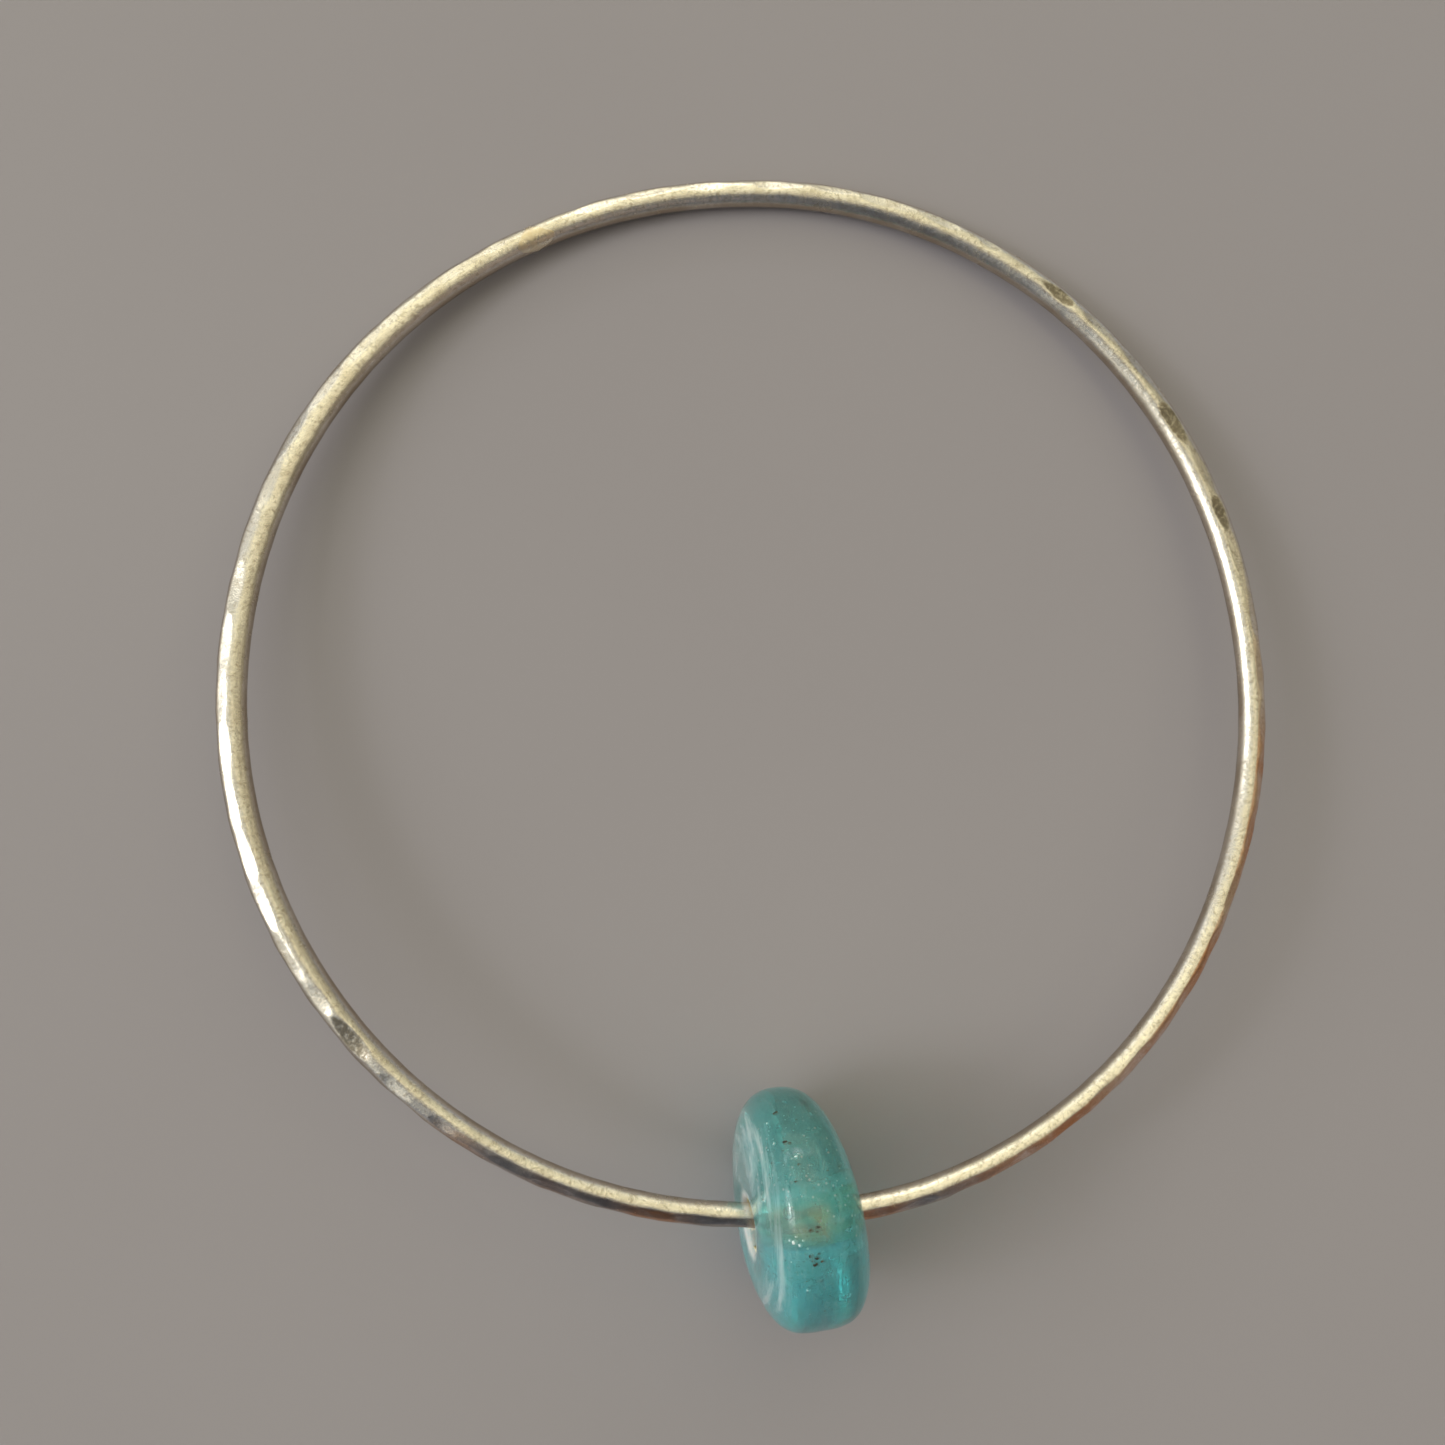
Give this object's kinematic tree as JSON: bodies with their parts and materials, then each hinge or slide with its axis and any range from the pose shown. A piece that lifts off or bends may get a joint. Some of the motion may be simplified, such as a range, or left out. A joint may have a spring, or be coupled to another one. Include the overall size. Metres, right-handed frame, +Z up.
{
  "type": "bangle bracelet",
  "caption": "Closed round bangle of hammered silver wire with a loose disc-shaped teal glass bead that travels round the hoop.",
  "frame": {"origin": "centre of the footprint at table level: the hoop lies on the rim of the bead and on the wire opposite the bead", "axes": "+Z up from the table, the bead towards -Y; the hoop's own axis leans 5.62 degrees from +Z towards +Y"},
  "size_m": [0.0682, 0.0745, 0.0147],
  "materials": {
    "silver_wire": "hammered and polished silver, lightly worn",
    "silver_solder": "polished silver solder, slightly yellower than the wire",
    "teal_glass": "glossy flame-worked translucent glass"
  },
  "bodies": {
    "hoop": {"hoop_wire": "silver_wire", "solder_seam": "silver_solder"},
    "bead": {"glass_bead": "teal_glass"}
  },
  "joints": [
    {"name": "bead_travel", "type": "hinge", "parent": "hoop", "child": "bead", "pos_m": [0, 0.00326, 0.00409], "axis": [0, 0.0979, 0.9952], "continuous": true}
  ]
}
